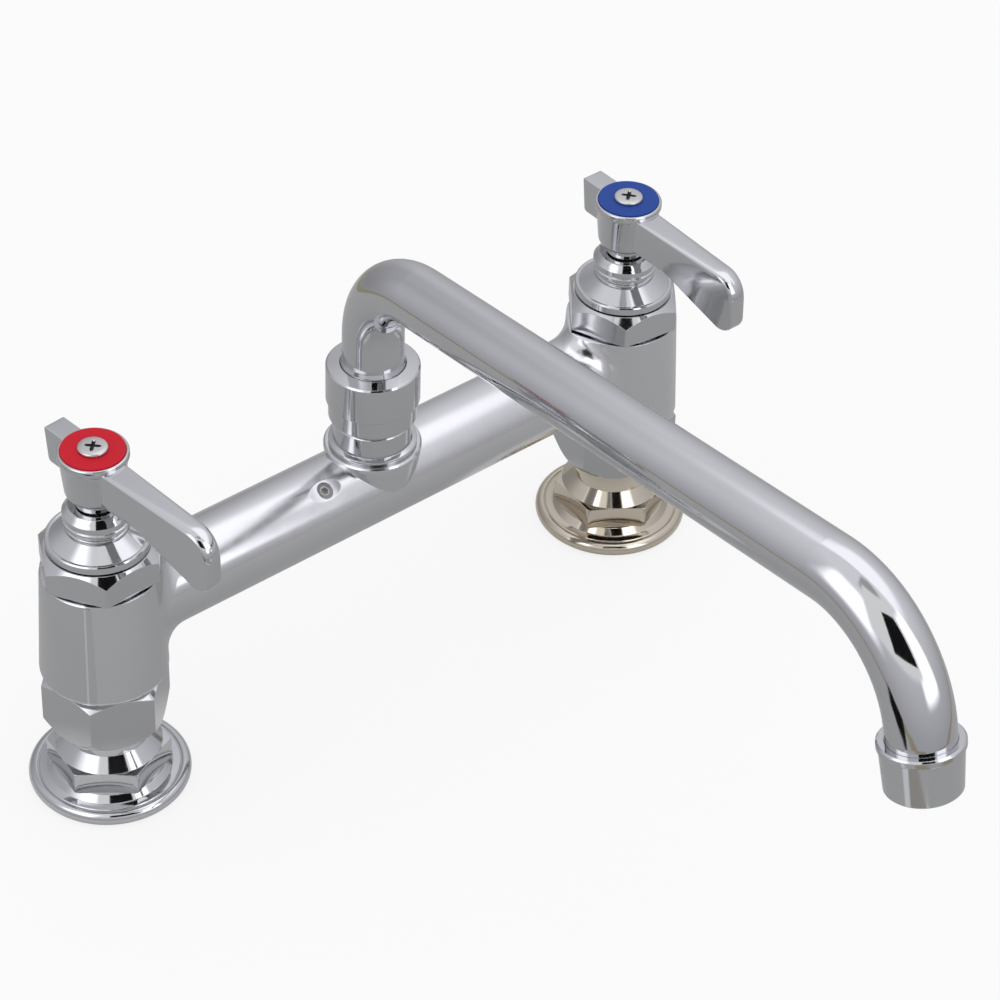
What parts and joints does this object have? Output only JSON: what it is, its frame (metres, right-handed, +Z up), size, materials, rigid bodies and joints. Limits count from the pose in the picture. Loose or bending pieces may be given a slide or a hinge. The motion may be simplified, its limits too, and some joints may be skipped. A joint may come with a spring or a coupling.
{
  "type": "deck-mount faucet",
  "caption": "Bridge faucet for a deck: two lever valves with coloured index discs on round inlet flanges, a cast bridge, and a swing spout with an aerator.",
  "frame": {"origin": "on the deck, midway between the two inlet axes", "axes": "+Z up from the deck; +X from the hot valve to the cold valve; -Y towards the user and the outlet"},
  "size_m": [0.2528, 0.2838, 0.1863],
  "materials": {
    "chrome": "polished",
    "satin_chrome": "satin",
    "warm_nickel": "polished, slightly warm",
    "brass": "machined",
    "steel": "satin",
    "disc_red": "gloss",
    "disc_blue": "gloss",
    "rubber": "matt",
    "plastic_white": "matt",
    "ceramic_grey": "lapped, stands for alumina ceramic"
  },
  "bodies": {
    "base": {"bridge_body": "satin_chrome", "lock_screw": "steel", "swivel_spud": "chrome", "swivel_nut": "chrome", "thrust_washer": "plastic_white", "retaining_washer": "plastic_white", "hot_inlet_flange": "chrome", "hot_tailpiece": "brass", "hot_coupling_washer": "rubber", "hot_union_nut": "chrome", "hot_bonnet": "chrome", "hot_packing_nut": "chrome", "hot_stem_packing": "rubber", "hot_cartridge_housing": "brass", "hot_fixed_disc": "ceramic_grey", "hot_seat_seal": "rubber", "cold_inlet_flange": "warm_nickel", "cold_tailpiece": "brass", "cold_coupling_washer": "rubber", "cold_union_nut": "chrome", "cold_bonnet": "chrome", "cold_packing_nut": "chrome", "cold_stem_packing": "rubber", "cold_cartridge_housing": "brass", "cold_fixed_disc": "ceramic_grey", "cold_seat_seal": "rubber"},
    "hot_lever": {"hot_lever_handle": "chrome", "hot_index_disc": "disc_red", "hot_handle_screw": "steel", "hot_valve_stem": "brass", "hot_moving_disc": "ceramic_grey", "hot_stem_o_ring": "rubber"},
    "cold_lever": {"cold_lever_handle": "chrome", "cold_index_disc": "disc_blue", "cold_handle_screw": "steel", "cold_valve_stem": "brass", "cold_moving_disc": "ceramic_grey", "cold_stem_o_ring": "rubber"},
    "spout": {"spout_tube": "chrome", "spout_ferrule": "brass", "ferrule_o_rings": "rubber", "aerator_housing": "chrome", "aerator_washer": "rubber", "aerator_insert": "plastic_white"}
  },
  "joints": [
    {"name": "hot_lever_turn", "type": "hinge", "parent": "base", "child": "hot_lever", "pos_m": [-0.1016, 0, 0.118], "axis": [0, 0, 1], "range_deg": [-90, 0]},
    {"name": "cold_lever_turn", "type": "hinge", "parent": "base", "child": "cold_lever", "pos_m": [0.1016, 0, 0.118], "axis": [0, 0, 1], "range_deg": [0, 90]},
    {"name": "spout_swing", "type": "hinge", "parent": "base", "child": "spout", "pos_m": [0, 0, 0.1], "axis": [0, 0, 1], "continuous": true}
  ]
}
